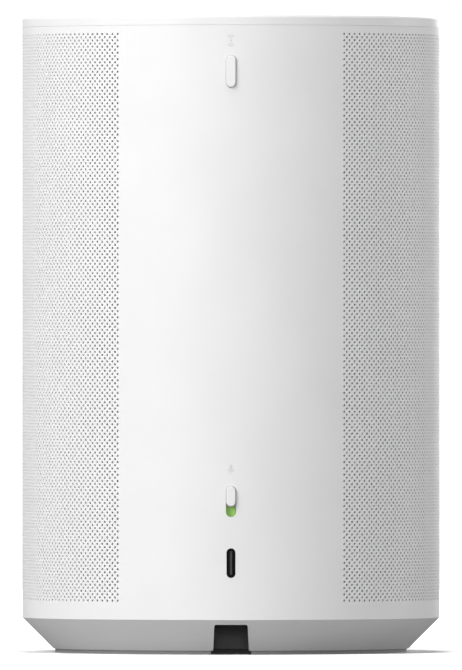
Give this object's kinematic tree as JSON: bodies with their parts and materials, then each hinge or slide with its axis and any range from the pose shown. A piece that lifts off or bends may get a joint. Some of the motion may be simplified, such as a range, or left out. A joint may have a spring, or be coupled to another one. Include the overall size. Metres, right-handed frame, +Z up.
{
  "type": "smart speaker",
  "caption": "Upright free-standing smart speaker with half-round front and back, perforated grille, rear pairing button, microphone slide switch, USB-C port and bevelled base.",
  "frame": {"origin": "centre of the foot pad's outline, on the surface the speaker stands on", "axes": "+Z up, -Y out of the perforated front, +Y out of the smooth rear panel with the controls, +X to the right in the front view"},
  "size_m": [0.12, 0.1314, 0.1825],
  "materials": {
    "shell_white": "fine satin moulded white, slight grain",
    "cap_white": "smooth satin white touch surface",
    "base_white": "satin white moulding",
    "control_white": "smooth satin white",
    "scrim_grey": "close plain-woven acoustic cloth",
    "foot_rubber": "matte grey silicone",
    "light_pipe": "translucent diffuser",
    "sensor_film": "amber polyimide film",
    "frame_black": "black moulded plastic",
    "board_green": "solder-masked circuit board",
    "board_black": "black solder-masked circuit board",
    "component_black": "moulded component body",
    "tinned_steel": "bright tinned steel",
    "screw_steel": "plated screw steel",
    "brass": "machined brass",
    "blackened_steel": "blackened steel",
    "recess_dark": "dark grey moulding",
    "switch_green": "green printed film",
    "switch_amber": "amber printed film",
    "silicone_clear": "milky silicone",
    "seal_foam": "black closed-cell foam",
    "copper": "enamelled copper winding",
    "cone_paper": "pressed fibre cone",
    "surround_rubber": "butyl roll surround",
    "spider_cloth": "impregnated cotton",
    "dome_silk": "coated silk dome",
    "ferrite": "sintered ferrite",
    "plated_iron": "zinc-plated soft iron",
    "basket_metal": "black stamped basket",
    "sink_aluminium": "extruded aluminium",
    "wire_black": "wire insulation",
    "ribbon_amber": "flexible circuit",
    "transformer_tape": "yellow winding tape",
    "capacitor_sleeve": "shrink sleeve"
  },
  "bodies": {
    "casing": {"outer_sleeve": "shell_white", "acoustic_scrim": "scrim_grey", "top_cap": "cap_white", "touch_sensor_film": "sensor_film", "status_light_guide": "light_pipe", "top_frame": "frame_black", "top_frame_screws": "screw_steel", "microphone_board": "board_black", "microphones": "tinned_steel", "microphone_seals": "seal_foam", "base_cover": "base_white", "foot_pad": "foot_rubber", "base_screws": "screw_steel", "bracket_insert": "brass", "mains_inlet": "recess_dark", "inlet_pins": "brass", "inlet_leads": "wire_black", "rear_control_carrier": "frame_black", "rear_control_board": "board_green", "carrier_screws": "screw_steel", "pair_button_pad": "silicone_clear", "pair_switch": "component_black", "mic_slide_switch": "component_black", "usb_c_shell": "blackened_steel", "usb_c_tongue": "recess_dark", "control_ribbon": "ribbon_amber", "cabinet_front": "frame_black", "cabinet_rear": "frame_black", "cabinet_gasket": "seal_foam", "cabinet_screws": "screw_steel", "woofer_basket": "basket_metal", "woofer_gasket": "seal_foam", "woofer_surround": "surround_rubber", "woofer_spider": "spider_cloth", "woofer_top_plate": "plated_iron", "woofer_magnet": "ferrite", "woofer_yoke": "plated_iron", "woofer_screws": "screw_steel", "tweeter_carrier": "frame_black", "left_tweeter_frame": "frame_black", "right_tweeter_frame": "frame_black", "tweeter_magnets": "plated_iron", "tweeter_screws": "screw_steel", "power_board": "board_green", "power_transformer": "transformer_tape", "power_capacitors": "capacitor_sleeve", "main_board": "board_green", "rf_shields": "tinned_steel", "heat_sink": "sink_aluminium", "board_screws": "screw_steel"},
    "pair_button_body": {"pair_button": "control_white"},
    "mic_slider": {"mic_switch_knob": "control_white", "mic_on_label": "switch_green", "mic_off_label": "switch_amber", "mic_switch_lever": "frame_black"},
    "woofer_moving": {"woofer_cone": "cone_paper", "woofer_dust_cap": "cone_paper", "woofer_voice_coil": "copper"},
    "left_dome": {"left_tweeter_dome": "dome_silk"},
    "right_dome": {"right_tweeter_dome": "dome_silk"}
  },
  "joints": [
    {"name": "pair_button_press", "type": "slide", "parent": "casing", "child": "pair_button_body", "axis": [0, -1, 0], "range_m": [0, 0.0004], "stiffness_N_per_m": 1500, "springref_m": -0.0002, "deforming": ["pair_button_pad"]},
    {"name": "mic_switch_slide", "type": "slide", "parent": "casing", "child": "mic_slider", "axis": [0, 0, -1], "range_m": [0, 0.0029]},
    {"name": "woofer_stroke", "type": "slide", "parent": "casing", "child": "woofer_moving", "axis": [0, -1, 0], "range_m": [-0.003, 0.003], "stiffness_N_per_m": 1500, "deforming": ["woofer_surround", "woofer_spider"]},
    {"name": "left_tweeter_stroke", "type": "slide", "parent": "casing", "child": "left_dome", "axis": [-0.6428, -0.766, 0], "range_m": [-0.0002, 0.0002], "stiffness_N_per_m": 800},
    {"name": "right_tweeter_stroke", "type": "slide", "parent": "casing", "child": "right_dome", "axis": [0.6428, -0.766, 0], "range_m": [-0.0002, 0.0002], "stiffness_N_per_m": 800}
  ]
}
